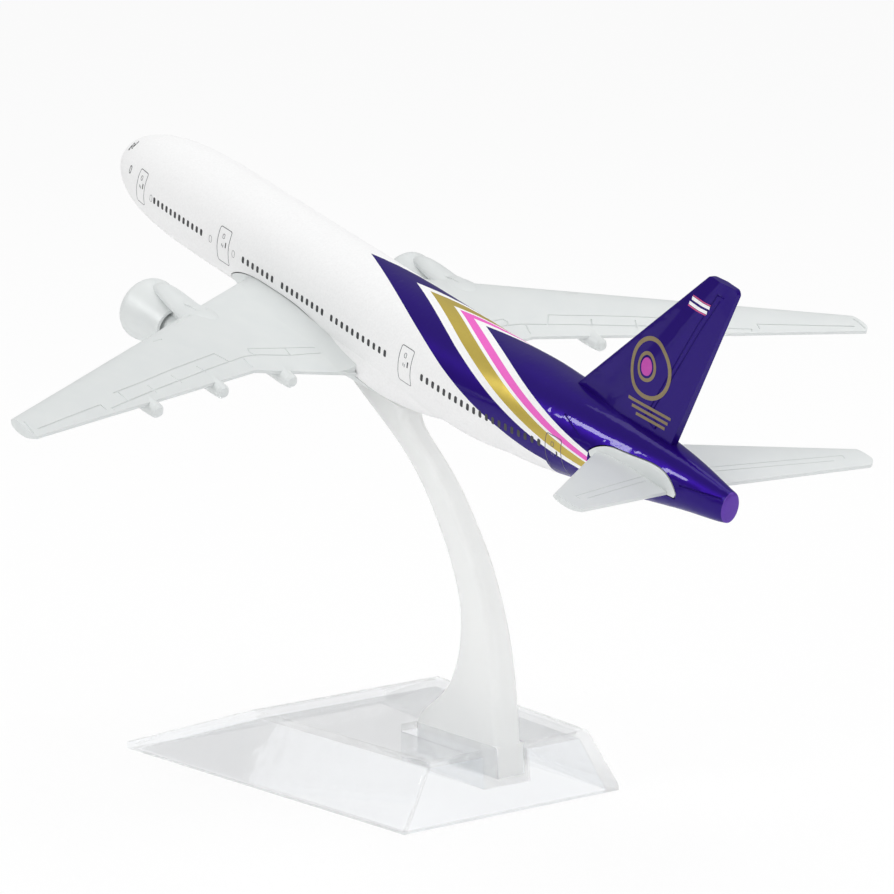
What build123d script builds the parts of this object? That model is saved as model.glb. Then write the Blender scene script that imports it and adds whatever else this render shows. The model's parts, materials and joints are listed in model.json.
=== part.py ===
"""Desktop airliner model: a die-cast twin jet on a curved stem and a clear base.

Millimetres, +Z up.  The nose points along -X and the port side is -Y.  The
origin is under the middle of the model, on the surface that the base stands on.
The airliner's own pieces are drawn level, with x running aft from a datum just
ahead of the nose and z up from the body's axis, and are then set on the stem at
its nose-up angle.
"""

from build123d import *
import math
import os

# ------------------------------------------------------------ the body
body_length = 156.9
body_radius = 7.95
nose_tip = 3.2
nose_length = 33.0
nose_fullness = 3.5
nose_droop = 0.2
tail_length = 57.0
tail_end_height = 4.4
tail_end_width = 2.8
tail_end_rise = 4.3

# the fairing under the body, where the wings and the stem meet it
belly_front = 35.0
belly_rear = 98.0
belly_half_width = 7.2
belly_depth = 10.6
seat_depth = 10.2

# the saddle-shaped line on which the wing casting meets the body casting
saddle_front = 43.3
saddle_rear = 83.0
saddle_peak = -2.1
saddle_steps = (3.5, 1.3, 0, 1.1, 3.4, 5.1)
seam = 0.2

# ------------------------------------------------------------ the fin
fin_root_x = body_length - 33.4
fin_root_z = 10.0
fin_slope = 1.09
fin_tip_z = 33.1
fin_root_chord = 19.4
fin_tip_chord = 6.2
fin_thickness = 2.5
fin_tip_thickness = 1.3

# ------------------------------------------------------------ the wings
wing_span = 150.8
wing_apex_x = 43.7
wing_sweep = 0.69
wing_rear_x = 80.2
kink_y = 25.5
tip_chord = 5.9
root_y = 6.0
front_root_z = -4.1
front_tip_z = 0.3
rear_root_z = -6.9
rear_kink_z = -4.3
rear_tip_z = 0.1
root_thickness = 4.3
kink_thickness = 3.2
tip_thickness = 1.5
foil_shares = (0.01, 0.3, 0.7)
foil_shoulder = 0.42
crown_fullness = 0.72
keel_fullness = 0.78
edge_thickness = 0.45
tip_round = 1.6

# the canoe-shaped fairings under the trailing edge: distance out, middle, length
track_fairings = ((20.0, 82.4, 9.0), (34.5, 86.2, 8.4), (49.5, 92.4, 7.6))
track_depth = 2.3
track_drop = 0.7
track_end = 0.5

# ------------------------------------------------------------ the engines
engine_y = 24.1
engine_z = -6.9
cowl_front = 48.0
cowl_length = 8.9
cowl_radius = 4.55
cowl_lip_radius = 4.0
lip_length = 1.1
cowl_rear_radius = 3.4
cowl_wall = 0.45
fan_depth = 2.9
fan_thickness = 1.0
fan_radius = 3.5
core_radius = 2.3
core_rear_radius = 1.7
core_rear = 61.0
core_bore = 1.0
plug_length = 3.0
plug_fit = 0.05
pylon_thickness = 1.8
pylon_front = 3.2
pylon_crown = 5.2
pylon_rear = 63.0
pylon_fit = 0.06
slot_lead = 3.0

# ------------------------------------------------------------ the tailplane
tailplane_span = 52.8
tailplane_apex_x = body_length - 27.5
tailplane_sweep = 0.82
tailplane_rear_x = body_length - 10.9
tailplane_rear_sweep = 0.395
tailplane_root_z = 3.2
tailplane_rise = 0.19
tailplane_root_y = 5.7
tailplane_thickness = 1.9
tailplane_tip_thickness = 0.9
socket_y = 2.2
tongue_length = 6.5
tongue_thickness = 1.3
tongue_gap = 0.5
tongue_x = body_length - 15.9

# ------------------------------------------------------------ the fixings
screw_places = (52.0, 64.0)
screw_radius = 0.95
screw_head_radius = 1.7
screw_length = 10.5
screw_point = 1.2
cross_length = 2.2
cross_width = 0.45
cross_depth = 0.8
countersink = 82
screw_hole_radius = 1.05
screw_fit = 0.03
boss_radius = 2.2
boss_end_z = -5.0
boss_fit = 0.2
cavity_front = 46.0
cavity_rear = 70.5
cavity_half_width = 5.0
cavity_ceiling = 3.0

# ------------------------------------------------------------ the stand
stand_x = -8.04
nose_x = -70.36
nose_z = 89.6
nose_up = 15.28
base_length = 67.2
base_front_width = 49.2
base_rear_width = 39.4
base_height = 9.9
rim_height = 1.1
plateau_front = 25.0
plateau_rear = 0.7
side_inset = 5.2
base_wall = 1.5
edge_round = 0.5
socket_width = 8.2
socket_floor = 1.5
foot_thickness = 4.7
foot_front = 12.3
toe_inset = 1.0
foot_depth = 4.7
foot_fit = 0.12
head_front = 71.2
head_rear = 85.6
head_thickness = 5.2
head_tenon_front = 75.5
head_tenon_length = 7.0
head_tenon_thickness = 2.6
head_tenon_depth = 5.0
head_fit = 0.15

# the stem between its foot and its head: front edge, rear edge and thickness,
# measured from the middle of the base
stem_waist = (
    ((16.6, 13.8), (32.6, 14.6), 4.6),
    ((21.1, 18.4), (32.0, 20.4), 4.4),
    ((23.0, 24.4), (30.8, 26.2), 4.2),
    ((22.7, 30.2), (28.6, 32.4), 4.0),
    ((20.5, 35.6), (25.6, 38.2), 3.8),
    ((17.2, 41.1), (21.8, 43.6), 3.6),
    ((13.0, 46.5), (16.9, 48.9), 3.5),
    ((8.0, 51.2), (11.7, 53.2), 3.7),
    ((2.4, 55.6), (9.8, 55.6), 4.3),
)

os.makedirs("parts", exist_ok=True)

# the airliner's own frame, tilted nose-up about its nose
pitch = math.radians(nose_up)
nose_point = Vector(stand_x + nose_x, 0, nose_z)
aft = Vector(math.cos(pitch), 0, -math.sin(pitch))
lift = Vector(math.sin(pitch), 0, math.cos(pitch))
airliner_frame = Plane(origin=nose_point, x_dir=aft, z_dir=lift)


# ------------------------------------------------------------ shared shapes
def body_section(x):
    """Half width, half height and centre height of the body at x."""
    tail_start = body_length - tail_length
    if x < nose_tip + nose_length:
        ahead = 1 - (x - nose_tip) / nose_length
        radius = body_radius * math.sqrt(1 - ahead**nose_fullness)
        return radius, radius, -nose_droop * ahead**2
    if x <= tail_start:
        return body_radius, body_radius, 0
    run = (x - tail_start) / tail_length
    half_height = body_radius + (tail_end_height / 2 - body_radius) * run**1.8
    half_width = body_radius + (tail_end_width / 2 - body_radius) * run**1.85
    rise = tail_end_rise * (0.5 * run + 1.6 * run**2 - 1.1 * run**3)
    return half_width, half_height, rise


def upright_oval(x, half_width, half_height, height):
    """An oval across the airliner that is at least as tall as it is wide."""
    plane = Plane(origin=(x, 0, height), x_dir=(0, 0, 1), z_dir=(1, 0, 0))
    with BuildSketch(plane) as oval:
        Ellipse(half_height, half_width)
    return oval.sketch.face()


def flat_oval(x, half_width, half_height, height):
    """An oval across the airliner that is wider than it is tall."""
    plane = Plane(origin=(x, 0, height), x_dir=(0, 1, 0), z_dir=(1, 0, 0))
    with BuildSketch(plane) as oval:
        Ellipse(half_width, half_height)
    return oval.sketch.face()


def aerofoil(y, front, rear, thickness):
    """A wing section at y, from its leading edge to its trailing edge, as (x, z)."""
    chord = rear[0] - front[0]
    drop = rear[1] - front[1]

    def at(share, rise):
        return (front[0] + share * chord, front[1] + share * drop + rise)

    with BuildSketch(Plane.XZ.offset(-y)) as section:
        with BuildLine():
            for side, fullness in ((1, crown_fullness), (-1, keel_fullness)):
                Bezier(
                    front,
                    at(foil_shares[0], side * foil_shoulder * thickness),
                    at(foil_shares[1], side * fullness * thickness),
                    at(foil_shares[2], side * foil_shoulder * thickness),
                    at(1, side * edge_thickness / 2),
                )
            Line(at(1, edge_thickness / 2), at(1, -edge_thickness / 2))
        make_face()
    return section.sketch.face()


def mirrored(piece):
    """The same piece on the other side of the airliner."""
    return mirror(piece, about=Plane.XZ)


def beside(points, distance):
    """Points alongside a smooth line through these points, distance to its left."""
    line = Edge.make_spline([Vector(*point) for point in points])
    steps = 2 * len(points)
    places = []
    for step in range(steps + 1):
        point = line @ (step / steps)
        along = line % (step / steps)
        places.append((point.X - distance * along.Y, point.Y + distance * along.X))
    return places


def saddle_prism(growth):
    """The side view of the wing casting's hub, carried right through the body."""
    low = -2 * belly_depth
    half = 2 * body_radius
    span = saddle_rear - saddle_front
    saddle_points = zip((0, 0.09, 0.36, 0.62, 0.74, 0.87), saddle_steps)
    line = beside(
        (
            (saddle_front - 1.6, -belly_depth),
            *[(saddle_front + share * span, saddle_peak - step) for share, step in saddle_points],
            (saddle_rear + 3, -belly_depth),
        ),
        growth,
    )
    with BuildPart() as prism:
        with BuildSketch(Plane.XZ.offset(-half)):
            with BuildLine():
                Spline(*line)
                Polyline(line[-1], (line[-1][0], low), (line[0][0], low), line[0])
            make_face()
        extrude(amount=2 * half)
    return prism.part


# the body's outer form, from the blunt nose to the flattened tail cone
nose_shares = (0.004, 0.02, 0.06, 0.13, 0.23, 0.36, 0.52, 0.74, 1.0)
barrel_shares = (0.06, 0.2, 0.4, 0.6, 0.8, 0.94)
tail_shares = (0.0, 0.16, 0.31, 0.46, 0.61, 0.76, 0.89, 1.0)
barrel_front = nose_tip + nose_length
barrel_length = body_length - barrel_front - tail_length
stations = [nose_tip + nose_length * share for share in nose_shares]
stations += [barrel_front + barrel_length * share for share in barrel_shares]
stations += [body_length - tail_length * (1 - share) for share in tail_shares]


def body_ring(x, growth):
    """The body's outline at x, grown all round."""
    half_width, half_height, rise = body_section(x)
    return upright_oval(x, half_width + growth, half_height + growth, rise)


with BuildPart() as body_form:
    loft(sections=[body_ring(x, 0) for x in stations])
    fillet(body_form.faces().sort_by(Axis.X)[-1].edges(), 0.5)

# the belly fairing's outer form, flat underneath where the stem's head seats
belly_length = belly_rear - belly_front
belly_shares = (
    (0.0, 0.35, 7.7),
    (0.17, 0.8, 9.4),
    (0.32, 1.0, belly_depth),
    (0.70, 1.0, belly_depth),
    (0.86, 0.86, 9.8),
    (1.0, 0.35, 7.7),
)


def belly_ring(share, width_share, depth, growth):
    """The belly fairing's outline at a share of its length, grown all round."""
    half_width = max(belly_half_width, 0.52 * depth) * width_share
    half_height = min(0.52 * depth, 0.99 * half_width)
    x = belly_front + share * belly_length
    return flat_oval(x, half_width + growth, half_height + growth, half_height - depth)


with BuildPart() as belly_form:
    loft(sections=[belly_ring(*shares, 0) for shares in belly_shares])
    split(bisect_by=Plane.XY.offset(-seat_depth), keep=Keep.TOP)

# the room that the body casting needs beside the wings
with BuildPart() as body_clearance:
    loft(sections=[body_ring(x, seam) for x in stations])
    loft(sections=[belly_ring(*shares, seam) for shares in belly_shares])
    add(saddle_prism(0), mode=Mode.SUBTRACT)

# ------------------------------------------------------------ the fin
def fin_front(z):
    """Where the fin's leading edge is at height z."""
    return fin_root_x + (z - fin_root_z) / fin_slope


fin_low_z = fin_root_z - 4.0
fin_low_front = fin_front(fin_low_z)
fin_tip_front = fin_front(fin_tip_z)
fin_low_rear = fin_front(fin_root_z) + fin_root_chord


def lens(z, front, rear, thickness):
    """The fin's section at height z: pointed in front, blunt behind."""
    chord = rear - front
    with BuildSketch(Plane.XY.offset(z)) as section:
        with BuildLine():
            upper = Spline(
                (front, 0),
                (front + 0.08 * chord, 0.3 * thickness),
                (front + 0.4 * chord, 0.5 * thickness),
                (rear, 0.25 * thickness),
                tangents=((0, 1), (1, -0.06)),
            )
            mirror(upper, about=Plane.XZ)
            Line((rear, 0.25 * thickness), (rear, -0.25 * thickness))
        make_face()
    return section.sketch.face()


with BuildPart() as fin:
    loft(
        sections=[
            lens(fin_low_z, fin_low_front, fin_low_rear, fin_thickness),
            lens(fin_tip_z, fin_tip_front, fin_tip_front + fin_tip_chord, fin_tip_thickness),
        ],
        ruled=True,
    )
    with BuildSketch(Plane.XZ.offset(-fin_thickness)):
        with BuildLine():
            Polyline(
                (fin_low_front - 1, fin_low_z),
                (fin_tip_front, fin_tip_z),
                (fin_tip_front + fin_tip_chord, fin_tip_z),
                (fin_low_rear + 1, fin_low_z),
                close=True,
            )
        make_face()
        fillet(vertices().group_by(Axis.Y)[-1].sort_by(Axis.X)[0], 1.9)
        fillet(vertices().group_by(Axis.Y)[-1].sort_by(Axis.X)[-1], 0.8)
    extrude(amount=2 * fin_thickness, mode=Mode.INTERSECT)

# ------------------------------------------------------------ the body casting
tongue_middle_z = tailplane_root_z + 0.4


def tail_arch(shrink):
    """The side view of the tailplane's root block, clear of its recess by shrink."""
    front = tailplane_apex_x + tailplane_sweep * tailplane_root_y - 1.5
    rear = tailplane_rear_x + tailplane_rear_sweep * socket_y + 2.0
    run = rear - front
    top = tailplane_root_z + 2.2
    line = beside(
        (
            (rear, tailplane_root_z),
            (rear - 0.06 * run, top - 0.9),
            (front + 0.4 * run, top),
            (front + 0.12 * run, top - 0.7),
            (front, tailplane_root_z),
        ),
        shrink,
    )
    low = tailplane_root_z - tailplane_thickness / 2 + shrink
    with BuildSketch(Plane.XZ) as side:
        with BuildLine():
            Spline(*line)
            Polyline(line[-1], (line[-1][0] + 0.4, low), (line[0][0] - 0.4, low), line[0])
        make_face()
    return side.sketch


def tail_blocks(shrink):
    """The two root blocks' space, outward from the sockets' floors on both sides."""
    with BuildPart() as blocks:
        with BuildSketch(Plane.XZ.offset(socket_y)):
            add(tail_arch(shrink))
        extrude(amount=body_radius)
        mirror(about=Plane.XZ)
    return blocks.part


head_middle_x = head_tenon_front + head_tenon_length / 2


def stem_slot():
    """The slot for the tongue on the stem's head, open under the belly."""
    low = -belly_depth - 1
    with BuildPart() as slot:
        with BuildSketch(Plane.XY.offset(low)):
            with Locations((head_middle_x, 0)):
                Rectangle(head_tenon_length + 2 * head_fit, head_tenon_thickness + 2 * head_fit)
        extrude(amount=-seat_depth + head_tenon_depth + head_fit - low)
    return slot.part


with BuildPart() as fuselage:
    add(body_form.part)
    add(belly_form.part)
    add(saddle_prism(seam), mode=Mode.SUBTRACT)
    add(fin.part)
    # cored out from underneath, with a boss for each screw
    with BuildSketch(Plane.XY.offset(-body_radius)):
        with Locations(((cavity_front + cavity_rear) / 2, 0)):
            Rectangle(cavity_rear - cavity_front, 2 * cavity_half_width)
    extrude(amount=body_radius + cavity_ceiling, mode=Mode.SUBTRACT)
    with BuildSketch(Plane.XY.offset(boss_end_z)):
        with Locations(*[(x, 0) for x in screw_places]):
            Circle(boss_radius)
            Circle(screw_radius + screw_fit, mode=Mode.SUBTRACT)
    extrude(amount=cavity_ceiling - boss_end_z)
    # the stem's slot and the tailplane's sockets
    add(stem_slot(), mode=Mode.SUBTRACT)
    add(tail_blocks(0), mode=Mode.SUBTRACT)
    with BuildSketch(Plane.XZ.offset(-body_radius)):
        with Locations((tongue_x, tongue_middle_z)):
            Rectangle(tongue_length + 2 * plug_fit, tongue_thickness + 2 * plug_fit)
    extrude(amount=2 * body_radius, mode=Mode.SUBTRACT)

# ------------------------------------------------------------ the wing casting
tip_y = wing_span / 2


def wing_front(y):
    """The leading edge at y, as (x, z)."""
    share = (y - root_y) / (tip_y - root_y)
    return (wing_apex_x + wing_sweep * y, front_root_z + share * (front_tip_z - front_root_z))


def wing_rear(y):
    """The trailing edge at y, as (x, z)."""
    if y < kink_y:
        share = (y - root_y) / (kink_y - root_y)
        return (wing_rear_x, rear_root_z + share * (rear_kink_z - rear_root_z))
    share = (y - kink_y) / (tip_y - kink_y)
    run = wing_front(tip_y)[0] + tip_chord - wing_rear_x
    return (wing_rear_x + share * run, rear_kink_z + share * (rear_tip_z - rear_kink_z))


sections = [
    aerofoil(root_y, wing_front(root_y), wing_rear(root_y), root_thickness),
    aerofoil(kink_y, wing_front(kink_y), wing_rear(kink_y), kink_thickness),
    aerofoil(tip_y, wing_front(tip_y), wing_rear(tip_y), tip_thickness),
]

with BuildPart() as wing_panel:
    loft(sections=sections[:2], ruled=True)
    loft(sections=sections[1:], ruled=True)
    # the tip's corners are rounded in the top view
    with BuildSketch(Plane.XY.offset(-body_radius)):
        with BuildLine():
            Polyline(
                (wing_front(0)[0] - 1, 0),
                (wing_front(tip_y)[0] - 1, tip_y),
                (wing_rear(tip_y)[0] + 0.5, tip_y),
                (wing_rear(kink_y)[0] + 1, kink_y),
                (wing_rear(0)[0] + 1, 0),
                close=True,
            )
        make_face()
        fillet(vertices().group_by(Axis.Y)[-1], tip_round)
    extrude(amount=2 * body_radius, mode=Mode.INTERSECT)

with BuildPart() as canoes:
    for out, rear, length in track_fairings:
        height = wing_rear(out)[1] - track_drop
        with BuildSketch(Plane.XZ.offset(-out)):
            with BuildLine():
                ridge = Spline(
                    (rear - length, height),
                    (rear - 0.6 * length, height + track_depth / 2),
                    (rear - track_end, height + 0.45 * track_depth),
                    tangents=((0.5, 1), (1, -0.1)),
                )
                Polyline(
                    ridge @ 1,
                    (rear, height + 0.3 * track_depth),
                    (rear, height),
                    ridge @ 0,
                )
            make_face()
        revolve(axis=Axis((rear, out, height), (1, 0, 0)))

with BuildPart() as wing:
    add(body_form.part)
    add(belly_form.part)
    add(saddle_prism(0), mode=Mode.INTERSECT)
    add(wing_panel.part)
    add(mirrored(wing_panel.part))
    add(body_clearance.part, mode=Mode.SUBTRACT)
    add(canoes.part)
    add(mirrored(canoes.part))
    # pockets for the body's bosses, and the screws' countersunk holes
    with BuildSketch(Plane.XY.offset(boss_end_z)):
        with Locations(*[(x, 0) for x in screw_places]):
            Circle(boss_radius + boss_fit)
    extrude(amount=body_radius, mode=Mode.SUBTRACT)
    with Locations(*[Plane(origin=(x, 0, -seat_depth), z_dir=(0, 0, -1)) for x in screw_places]):
        CounterSinkHole(
            screw_hole_radius,
            screw_head_radius + screw_fit,
            depth=body_radius,
            counter_sink_angle=countersink,
        )
    add(stem_slot(), mode=Mode.SUBTRACT)
    # the pylons' slots in the leading edge
    slot_front = wing_front(engine_y)[0] - slot_lead
    slot_width = pylon_thickness + 2 * pylon_fit
    with BuildSketch(Plane.XY.offset(-belly_depth)):
        with Locations(*[((slot_front + pylon_rear) / 2, side * engine_y) for side in (-1, 1)]):
            Rectangle(pylon_rear - slot_front, slot_width)
    extrude(amount=2 * belly_depth, mode=Mode.SUBTRACT)

# ------------------------------------------------------------ the screws
with BuildPart() as wing_screws:
    for x in screw_places:
        head_height = (screw_head_radius - screw_radius) / math.tan(math.radians(countersink / 2))
        with BuildSketch(Plane.XZ):
            with BuildLine():
                Polyline(
                    (x, -seat_depth),
                    (x + screw_head_radius, -seat_depth),
                    (x + screw_radius, -seat_depth + head_height),
                    (x + screw_radius, -seat_depth + screw_length - screw_point),
                    (x, -seat_depth + screw_length),
                    close=True,
                )
            make_face()
        revolve(axis=Axis((x, 0, 0), (0, 0, 1)))
    with BuildSketch(Plane.XY.offset(-seat_depth)):
        with Locations(*[(x, 0) for x in screw_places]):
            Rectangle(cross_length, cross_width)
            Rectangle(cross_width, cross_length)
    extrude(amount=cross_depth, mode=Mode.SUBTRACT)

# ------------------------------------------------------------ the engines
cowl_rear = cowl_front + cowl_length
fan_rear = cowl_front + fan_depth + fan_thickness
engine_axis = Axis((0, -engine_y, engine_z), (1, 0, 0))
leading_edge = wing_front(engine_y)

with BuildPart() as nacelle_port:
    # the cowl, open at both ends, with a ledge for the fan
    with BuildSketch(Plane.XZ.offset(engine_y)):
        with BuildLine():
            outside = Spline(
                (cowl_front, engine_z + cowl_lip_radius),
                (cowl_front + 0.36 * cowl_length, engine_z + cowl_radius),
                (cowl_rear, engine_z + cowl_rear_radius),
                tangents=((0, 1), (1, -0.24)),
            )
            mouth = Spline(
                outside @ 0,
                (cowl_front + lip_length, engine_z + fan_radius + plug_fit),
                tangents=((0, -1), (1, 0)),
            )
            Polyline(
                mouth @ 1,
                (fan_rear, engine_z + fan_radius + plug_fit),
                (fan_rear, engine_z + fan_radius - 0.35),
                (cowl_rear, engine_z + cowl_rear_radius - cowl_wall),
                outside @ 1,
            )
        make_face()
    revolve(axis=engine_axis)
    # the core behind the fan
    with BuildSketch(Plane.XZ.offset(engine_y)):
        with BuildLine():
            Polyline(
                (fan_rear, engine_z + core_bore),
                (fan_rear, engine_z + core_radius),
                (cowl_rear, engine_z + core_radius),
                (core_rear, engine_z + core_rear_radius),
                (core_rear, engine_z + core_bore),
                close=True,
            )
        make_face()
    revolve(axis=engine_axis)
    # the pylon that carries both and plugs into the wing
    with BuildSketch(Plane.XZ.offset(engine_y)):
        with BuildLine():
            Polyline(
                (cowl_front + pylon_front, engine_z + cowl_radius - 0.5),
                (cowl_front + pylon_crown, engine_z + cowl_radius + 0.35),
                (cowl_rear + 0.5, engine_z + cowl_radius + 0.1),
                (leading_edge[0] + 0.6, leading_edge[1] + 0.42 * kink_thickness),
                (pylon_rear, leading_edge[1] + 0.45 * kink_thickness),
                (pylon_rear, leading_edge[1] - 0.38 * kink_thickness),
                (core_rear - 0.5, engine_z + 0.6 * core_rear_radius + 0.4 * core_bore),
                (fan_rear, engine_z + 0.5 * core_radius + 0.5 * core_bore),
                (fan_rear, engine_z + fan_radius + plug_fit),
                (cowl_front + pylon_front, engine_z + fan_radius + 2 * plug_fit),
                close=True,
            )
        make_face()
    extrude(amount=pylon_thickness / 2, both=True)

with BuildPart() as fan_port:
    with BuildSketch(Plane.XZ.offset(engine_y)):
        with BuildLine():
            nose_cone = Spline(
                (fan_rear - fan_thickness - 1.7, engine_z),
                (fan_rear - fan_thickness - 0.9, engine_z + 0.75),
                (fan_rear - fan_thickness, engine_z + 1.15),
                tangents=((0, 1), (1, 0.3)),
            )
            Polyline(
                nose_cone @ 1,
                (fan_rear - fan_thickness, engine_z + fan_radius),
                (fan_rear, engine_z + fan_radius),
                (fan_rear, engine_z + core_bore - plug_fit),
                (fan_rear + 2.5, engine_z + core_bore - plug_fit),
                (fan_rear + 2.5, engine_z),
                nose_cone @ 0,
            )
        make_face()
    revolve(axis=engine_axis)

with BuildPart() as exhaust_plug_port:
    with BuildSketch(Plane.XZ.offset(engine_y)):
        with BuildLine():
            Polyline(
                (core_rear - 2.5, engine_z),
                (core_rear - 2.5, engine_z + core_bore - plug_fit),
                (core_rear, engine_z + core_bore - plug_fit),
                (core_rear, engine_z + core_rear_radius - 0.3),
                (core_rear + plug_length, engine_z + 0.25),
                (core_rear + plug_length, engine_z),
                close=True,
            )
        make_face()
    revolve(axis=engine_axis)

# ------------------------------------------------------------ the tailplane
tailplane_tip_y = tailplane_span / 2


def tailplane_section(y, thickness):
    """The port tailplane's section, y out from the middle."""
    height = tailplane_root_z + tailplane_rise * (y - tailplane_root_y)
    front = (tailplane_apex_x + tailplane_sweep * y, height)
    rear = (tailplane_rear_x + tailplane_rear_sweep * y, height)
    return aerofoil(-y, front, rear, thickness)


with BuildPart() as tailplane_panel:
    loft(
        sections=[
            tailplane_section(socket_y + 0.5, tailplane_thickness),
            tailplane_section(tailplane_tip_y, tailplane_tip_thickness),
        ],
        ruled=True,
    )
    with BuildSketch(Plane.XY.offset(-body_radius)):
        with BuildLine():
            Polyline(
                (tailplane_apex_x - 1, 0),
                (tailplane_apex_x + tailplane_sweep * tailplane_tip_y - 0.6, -tailplane_tip_y),
                (tailplane_rear_x + tailplane_rear_sweep * tailplane_tip_y + 0.3, -tailplane_tip_y),
                (tailplane_rear_x + 1, 0),
                close=True,
            )
        make_face()
        fillet(vertices().group_by(Axis.Y)[0], tip_round)
    extrude(amount=3 * body_radius, mode=Mode.INTERSECT)
    add(body_form.part, mode=Mode.SUBTRACT)

with BuildPart() as tailplane_port:
    add(tail_blocks(seam))
    add(body_form.part, mode=Mode.INTERSECT)
    split(bisect_by=Plane.XZ)
    add(tailplane_panel.part)
    with BuildSketch(Plane.XZ.offset(tongue_gap / 2)):
        with Locations((tongue_x, tongue_middle_z)):
            Rectangle(tongue_length, tongue_thickness)
    extrude(amount=socket_y + 0.2)

# ------------------------------------------------------------ the base
base_rear_x = stand_x + base_length / 2
base_front_x = stand_x - base_length / 2


def base_half_width(x):
    """Half the width of the base's footprint at x."""
    share = (x - base_front_x) / base_length
    return (base_front_width + share * (base_rear_width - base_front_width)) / 2


def base_outline(front_x, rear_x, inset, height):
    """The base's four-sided outline at one height."""
    front = base_half_width(front_x) - inset
    rear = base_half_width(rear_x) - inset
    with BuildSketch(Plane.XY.offset(height)) as outline:
        with BuildLine():
            Polyline((front_x, -front), (rear_x, -rear), (rear_x, rear), (front_x, front), close=True)
        make_face()
    return outline.sketch.face()


def wall_inset(run):
    """How far inside the plateau's edge its hollow's edge lies, over a slope of this run."""
    rise = base_height - rim_height
    return base_wall * (math.hypot(run, rise) - run) / rise


plateau_front_x = base_front_x + plateau_front
plateau_rear_x = base_rear_x - plateau_rear
foot_floor = base_height - foot_depth
foot_front_x = stand_x + foot_front
tenon_front_x = foot_front_x + toe_inset

with BuildPart() as base:
    add(base_outline(base_front_x, base_rear_x, 0, 0))
    extrude(amount=rim_height)
    loft(
        sections=[
            base_outline(base_front_x, base_rear_x, 0, rim_height),
            base_outline(plateau_front_x, plateau_rear_x, side_inset, base_height),
        ],
        ruled=True,
    )
    slopes = base.edges().filter_by(lambda e: (e @ 0).Z + (e @ 1).Z > rim_height + 0.1 + base_height / 2)
    fillet(slopes, edge_round)
    loft(
        sections=[
            base_outline(base_front_x + base_wall, base_rear_x - base_wall, base_wall, 0),
            base_outline(
                plateau_front_x + wall_inset(plateau_front),
                plateau_rear_x - wall_inset(plateau_rear),
                side_inset + wall_inset(side_inset),
                base_height - base_wall,
            ),
        ],
        ruled=True,
        mode=Mode.SUBTRACT,
    )
    # the socket for the stem's foot, open at the back of the base
    with BuildSketch(Plane.XY.offset(foot_floor - socket_floor)):
        with Locations(((foot_front_x - 1 + plateau_rear_x - base_wall / 2) / 2, 0)):
            Rectangle(plateau_rear_x - base_wall / 2 - foot_front_x + 1, socket_width)
    extrude(amount=foot_depth + socket_floor - base_wall / 2)
    with BuildSketch(Plane.XY.offset(foot_floor)):
        with Locations(((tenon_front_x - foot_fit + base_rear_x + 1) / 2, 0)):
            Rectangle(base_rear_x + 1 - tenon_front_x + foot_fit, foot_thickness + 2 * foot_fit)
    extrude(amount=foot_depth + 1, mode=Mode.SUBTRACT)

# ------------------------------------------------------------ the stem
def stem_section(front, rear, thickness):
    """A rounded section of the stem between its front and rear edges, as (x, z)."""
    run = Vector(rear[0] - front[0], 0, rear[1] - front[1])
    middle = ((front[0] + rear[0]) / 2, 0, (front[1] + rear[1]) / 2)
    with BuildSketch(Plane(origin=middle, x_dir=run, z_dir=(-run.Z, 0, run.X))) as section:
        RectangleRounded(run.length, thickness, 0.28 * thickness)
    return section.sketch.face()


def seat_point(x):
    """A point of the belly's flat seat, x behind the nose, where it is on the stand."""
    point = airliner_frame.from_local_coords(Vector(x, 0, -seat_depth))
    return (point.X, point.Z)


foot_section = stem_section((foot_front_x, base_height), (plateau_rear_x, base_height), foot_thickness)
head_section = stem_section(seat_point(head_front), seat_point(head_rear), head_thickness)
waist_sections = [
    stem_section((stand_x + front[0], front[1]), (stand_x + rear[0], rear[1]), thickness)
    for front, rear, thickness in stem_waist
]
head_plane = Plane(
    origin=airliner_frame.from_local_coords(Vector(head_middle_x, 0, -seat_depth)),
    x_dir=aft,
    z_dir=lift,
)

with BuildPart() as stem:
    loft(sections=[foot_section, *waist_sections, head_section])
    with BuildSketch(Plane.XY.offset(base_height)):
        with Locations(((tenon_front_x + plateau_rear_x) / 2, 0)):
            Rectangle(plateau_rear_x - tenon_front_x, foot_thickness)
    extrude(amount=-foot_depth)
    with BuildSketch(head_plane):
        Rectangle(head_tenon_length, head_tenon_thickness)
    extrude(amount=head_tenon_depth)
    chamfer(stem.faces().sort_by(Axis.Z)[-1].edges(), 0.3)

# ------------------------------------------------------------ finished pieces
airliner_pieces = {
    "fuselage": fuselage.part,
    "wing": wing.part,
    "wing_screws": wing_screws.part,
    "nacelle_port": nacelle_port.part,
    "nacelle_starboard": mirrored(nacelle_port.part),
    "fan_port": fan_port.part,
    "fan_starboard": mirrored(fan_port.part),
    "exhaust_plug_port": exhaust_plug_port.part,
    "exhaust_plug_starboard": mirrored(exhaust_plug_port.part),
    "tailplane_port": tailplane_port.part,
    "tailplane_starboard": mirrored(tailplane_port.part),
}
for label, piece in airliner_pieces.items():
    placed = piece.moved(airliner_frame.location)
    placed.label = label
    export_step(placed, f"parts/{label}.step")

stem.part.label = "stem"
export_step(stem.part, "parts/stem.step")
base.part.label = "base"
export_step(base.part, "parts/base.step")
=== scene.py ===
# %% [markdown]
# # A desktop airliner on its stand
#
# The real object is a die-cast twin-engined airliner, about 16 cm long, on a
# frosted stem that plugs into a clear plastic base. Its solid parts come
# ready made from the CAD model. This lesson gives them their finish, the lines
# cut into the wings, the printed doors and windows, and the engines' fans.

import json
import math

import bmesh
import bpy
from mathutils import Matrix, Vector
from mathutils.bvhtree import BVHTree


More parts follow.
